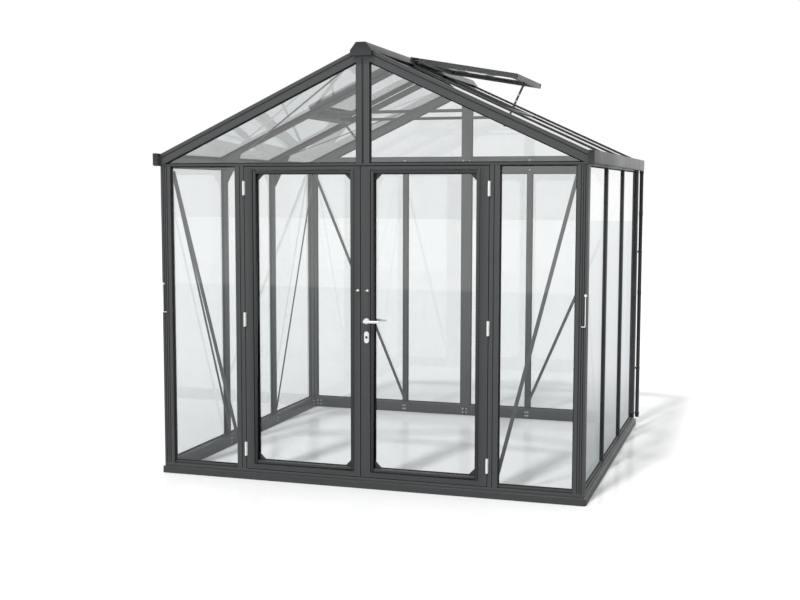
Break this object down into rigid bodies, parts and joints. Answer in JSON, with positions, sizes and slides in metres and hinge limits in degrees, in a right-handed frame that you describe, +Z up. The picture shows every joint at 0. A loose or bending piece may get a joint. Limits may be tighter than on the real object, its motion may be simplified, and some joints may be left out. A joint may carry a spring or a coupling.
{
  "type": "walk-in greenhouse",
  "caption": "Walk-in gable greenhouse of dark metal bars and clear glass, with double front doors, lock, storm hooks, roof vents on stays, gutters and downpipes.",
  "frame": {"origin": "on the ground under the middle of the house, half way between the front and rear gables", "axes": "+X to the right across the front gable as seen from outside, +Y from the front gable to the rear gable, +Z up"},
  "size_m": [2.6375, 2.5055, 2.5594],
  "materials": {
    "frame_paint": "fine matt powder coat, anthracite",
    "wall_glass": "clear",
    "roof_glass": "clear",
    "zinc_fittings": "bright zinc",
    "satin_silver": "satin anodised",
    "bolt_steel": "satin",
    "lock_brass": "satin",
    "dark_plastic": "moulded, fine grain"
  },
  "bodies": {
    "house": {"base_rail_front": "frame_paint", "base_rail_rear": "frame_paint", "base_rails_side": "frame_paint", "corner_posts_front": "frame_paint", "corner_posts_rear": "frame_paint", "door_posts": "frame_paint", "front_transom": "frame_paint", "rear_transom": "frame_paint", "front_gable_post": "frame_paint", "rear_centre_post": "frame_paint", "rear_mullions": "frame_paint", "side_mullions": "frame_paint", "eave_beams": "frame_paint", "front_rafters": "frame_paint", "rear_rafters": "frame_paint", "roof_bars": "frame_paint", "ridge_beam": "frame_paint", "ridge_cap": "frame_paint", "ridge_end_caps": "dark_plastic", "gutters": "frame_paint", "gutter_end_caps": "dark_plastic", "downpipes": "dark_plastic", "vent_sills": "frame_paint", "collar_ties": "frame_paint", "knee_gussets": "frame_paint", "wall_braces": "frame_paint", "roof_braces": "frame_paint", "panel_sills": "frame_paint", "front_glass": "wall_glass", "rear_glass": "wall_glass", "side_glass_left": "wall_glass", "side_glass_right": "wall_glass", "roof_glass_left": "roof_glass", "roof_glass_right": "roof_glass", "frame_bolts": "zinc_fittings", "front_fittings": "zinc_fittings", "vent_fittings": "frame_paint"},
    "left_door": {"left_door_frame": "frame_paint", "left_door_beads": "frame_paint", "left_door_glass": "wall_glass", "left_door_fittings": "zinc_fittings"},
    "top_bolt": {"top_flush_bolt": "bolt_steel"},
    "bottom_bolt": {"bottom_flush_bolt": "bolt_steel"},
    "right_door": {"right_door_frame": "frame_paint", "right_door_beads": "frame_paint", "right_door_glass": "wall_glass", "right_door_fittings": "zinc_fittings", "lock_trim": "satin_silver"},
    "lever": {"lever_handle": "satin_silver"},
    "latch": {"latch_bolt": "bolt_steel"},
    "dead_bolt": {"dead_bolt": "bolt_steel"},
    "key_plug": {"key_plug": "lock_brass"},
    "right_vent": {"right_vent_frame": "frame_paint", "right_vent_glass": "roof_glass"},
    "right_stay": {"right_vent_stay": "frame_paint"},
    "left_vent": {"left_vent_frame": "frame_paint", "left_vent_glass": "roof_glass"},
    "left_stay": {"left_vent_stay": "frame_paint"},
    "right_hook": {"right_storm_hook": "zinc_fittings"},
    "left_hook": {"left_storm_hook": "zinc_fittings"}
  },
  "joints": [
    {"name": "left_door_hinge", "type": "hinge", "parent": "house", "child": "left_door", "pos_m": [-0.7385, -1.219, 0.962], "axis": [0, 0, -1], "range_deg": [0, 180]},
    {"name": "right_door_hinge", "type": "hinge", "parent": "house", "child": "right_door", "pos_m": [0.7385, -1.219, 0.962], "axis": [0, 0, 1], "range_deg": [0, 180]},
    {"name": "top_bolt_slide", "type": "slide", "parent": "left_door", "child": "top_bolt", "axis": [0, 0, 1], "range_m": [0, 0.012]},
    {"name": "bottom_bolt_slide", "type": "slide", "parent": "left_door", "child": "bottom_bolt", "axis": [0, 0, -1], "range_m": [0, 0.012]},
    {"name": "lever_turn", "type": "hinge", "parent": "right_door", "child": "lever", "pos_m": [0.0237, -1.21, 0.978], "axis": [0, 1, 0], "range_deg": [0, 45], "stiffness_Nm_per_rad": 1, "springref_deg": -20.05},
    {"name": "latch_slide", "type": "slide", "parent": "right_door", "child": "latch", "axis": [1, 0, 0], "range_m": [0, 0.012]},
    {"name": "key_turn", "type": "hinge", "parent": "right_door", "child": "key_plug", "pos_m": [0.0237, -1.21, 0.885], "axis": [0, 1, 0], "range_deg": [0, 90]},
    {"name": "dead_bolt_slide", "type": "slide", "parent": "right_door", "child": "dead_bolt", "axis": [-1, 0, 0], "range_m": [0, 0.014]},
    {"name": "right_vent_hinge", "type": "hinge", "parent": "house", "child": "right_vent", "pos_m": [0.03602, 0, 2.5554], "axis": [0, -1, 0], "range_deg": [-14.8, 10]},
    {"name": "right_stay_pivot", "type": "hinge", "parent": "right_vent", "child": "right_stay", "pos_m": [0.67387, 0, 2.40401], "axis": [0, 1, 0], "range_deg": [-5, 60]},
    {"name": "left_vent_hinge", "type": "hinge", "parent": "house", "child": "left_vent", "pos_m": [-0.03602, 0, 2.5554], "axis": [0, 1, 0], "range_deg": [0, 24.8]},
    {"name": "left_stay_pivot", "type": "hinge", "parent": "left_vent", "child": "left_stay", "pos_m": [-0.61404, 0, 2.2461], "axis": [0, -1, 0], "range_deg": [-5, 60]},
    {"name": "right_hook_pivot", "type": "hinge", "parent": "house", "child": "right_hook", "pos_m": [1.278, -1.216, 1.16], "axis": [0, -1, 0], "range_deg": [-30, 90]},
    {"name": "left_hook_pivot", "type": "hinge", "parent": "house", "child": "left_hook", "pos_m": [-1.278, -1.216, 1.16], "axis": [0, 1, 0], "range_deg": [-30, 90]}
  ],
  "couplings": [
    {"joint": "latch_slide", "follows": "lever_turn", "m_per_rad": 0.015278},
    {"joint": "key_turn", "follows": "dead_bolt_slide", "rad_per_m": 112.2}
  ]
}
